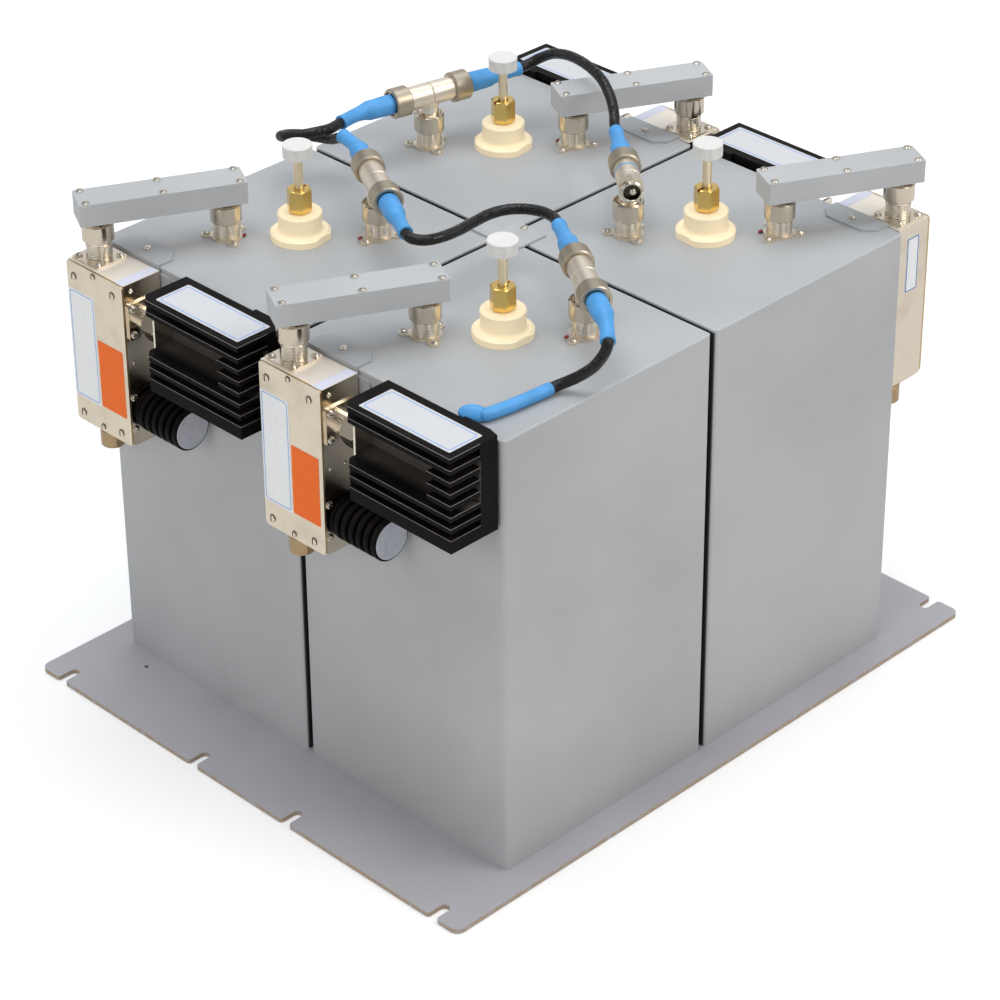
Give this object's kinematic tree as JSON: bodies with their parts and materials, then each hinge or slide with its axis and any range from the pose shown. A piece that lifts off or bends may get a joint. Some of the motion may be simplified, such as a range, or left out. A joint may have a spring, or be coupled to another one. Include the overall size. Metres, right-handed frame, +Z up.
{
  "type": "transmitter combiner",
  "caption": "Radio transmitter combiner: square cavity filters on a rack plate, fed through isolators with finned loads and joined by coaxial tees and jumpers.",
  "frame": {"origin": "underside of the base plate, at its centre", "axes": "+X along the rack plate's 482.6 mm width, +Z up through the cavities' tuning rods"},
  "size_m": [0.4826, 0.3994, 0.3772],
  "materials": {
    "plate_paint": "smooth grey enamel",
    "cavity_paint": "smooth light grey enamel",
    "bar_paint": "semi-gloss blue-grey enamel",
    "nickel_plate": "bright nickel plate with a warm cast",
    "nickel_turned": "bright nickel on turned brass",
    "nickel_screw": "bright plated screws",
    "copper": "copper, lightly dulled",
    "boot_blue": "matt blue shrink sleeve",
    "cable_jacket": "black cable jacket with a slight sheen",
    "ivory_plastic": "ivory moulded insulating plastic",
    "brass": "machined brass, a little polished at the corners",
    "pale_brass": "pale plated rod",
    "white_plastic": "milky white plastic",
    "black_anodised": "black anodised aluminium"
  },
  "bodies": {
    "root": {"base_plate": "plate_paint", "tie_plate": "cavity_paint", "line_bar_covers": "bar_paint", "isolator_covers": "nickel_plate", "isolator_brackets": "cavity_paint", "cavity_jacks": "nickel_turned", "coupling_loops": "copper", "isolator_ports": "nickel_turned", "transmitter_ports": "nickel_turned", "coupling_nuts": "nickel_turned", "plug_bodies": "nickel_turned", "tee_connectors": "nickel_turned", "elbow_connector": "nickel_turned", "cable_boots": "boot_blue", "lead_end": "boot_blue", "jumper_front_left": "cable_jacket", "jumper_left_back": "cable_jacket", "jumper_back_right": "cable_jacket", "output_lead": "cable_jacket", "screws": "nickel_screw", "cavity_front": "cavity_paint", "cavity_right": "cavity_paint", "cavity_back": "cavity_paint", "cavity_left": "cavity_paint", "resonator_front": "copper", "resonator_right": "copper", "resonator_back": "copper", "resonator_left": "copper", "tuning_boss_front": "ivory_plastic", "tuning_boss_right": "ivory_plastic", "tuning_boss_back": "ivory_plastic", "tuning_boss_left": "ivory_plastic", "isolator_front": "nickel_plate", "isolator_right": "nickel_plate", "isolator_back": "nickel_plate", "isolator_left": "nickel_plate", "line_bar_front": "bar_paint", "line_bar_right": "bar_paint", "line_bar_back": "bar_paint", "line_bar_left": "bar_paint", "heat_sink_load_front": "black_anodised", "heat_sink_load_right": "black_anodised", "heat_sink_load_back": "black_anodised", "heat_sink_load_left": "black_anodised", "small_load_front": "black_anodised", "small_load_right": "black_anodised", "small_load_back": "black_anodised", "small_load_left": "black_anodised"},
    "tuning_front": {"tuning_rod_front": "pale_brass", "tuning_knob_front": "white_plastic"},
    "locking_front": {"lock_nut_front": "brass"},
    "tuning_right": {"tuning_rod_right": "pale_brass", "tuning_knob_right": "white_plastic"},
    "locking_right": {"lock_nut_right": "brass"},
    "tuning_back": {"tuning_rod_back": "pale_brass", "tuning_knob_back": "white_plastic"},
    "locking_back": {"lock_nut_back": "brass"},
    "tuning_left": {"tuning_rod_left": "pale_brass", "tuning_knob_left": "white_plastic"},
    "locking_left": {"lock_nut_left": "brass"}
  },
  "joints": [
    {"name": "tuning_front_slide", "type": "slide", "parent": "root", "child": "tuning_front", "axis": [0, 0, 1], "range_m": [-0.018, 0.02]},
    {"name": "lock_nut_front_turn", "type": "hinge", "parent": "root", "child": "locking_front", "pos_m": [-0.0907, -0.0907, 0.334], "axis": [0, 0, 1], "range_deg": [0, 300]},
    {"name": "tuning_right_slide", "type": "slide", "parent": "root", "child": "tuning_right", "axis": [0, 0, 1], "range_m": [-0.018, 0.02]},
    {"name": "lock_nut_right_turn", "type": "hinge", "parent": "root", "child": "locking_right", "pos_m": [0.0907, -0.0907, 0.334], "axis": [0, 0, 1], "range_deg": [0, 300]},
    {"name": "tuning_back_slide", "type": "slide", "parent": "root", "child": "tuning_back", "axis": [0, 0, 1], "range_m": [-0.018, 0.02]},
    {"name": "lock_nut_back_turn", "type": "hinge", "parent": "root", "child": "locking_back", "pos_m": [0.0907, 0.0907, 0.334], "axis": [0, 0, 1], "range_deg": [0, 300]},
    {"name": "tuning_left_slide", "type": "slide", "parent": "root", "child": "tuning_left", "axis": [0, 0, 1], "range_m": [-0.018, 0.02]},
    {"name": "lock_nut_left_turn", "type": "hinge", "parent": "root", "child": "locking_left", "pos_m": [-0.0907, 0.0907, 0.334], "axis": [0, 0, 1], "range_deg": [0, 300]}
  ]
}
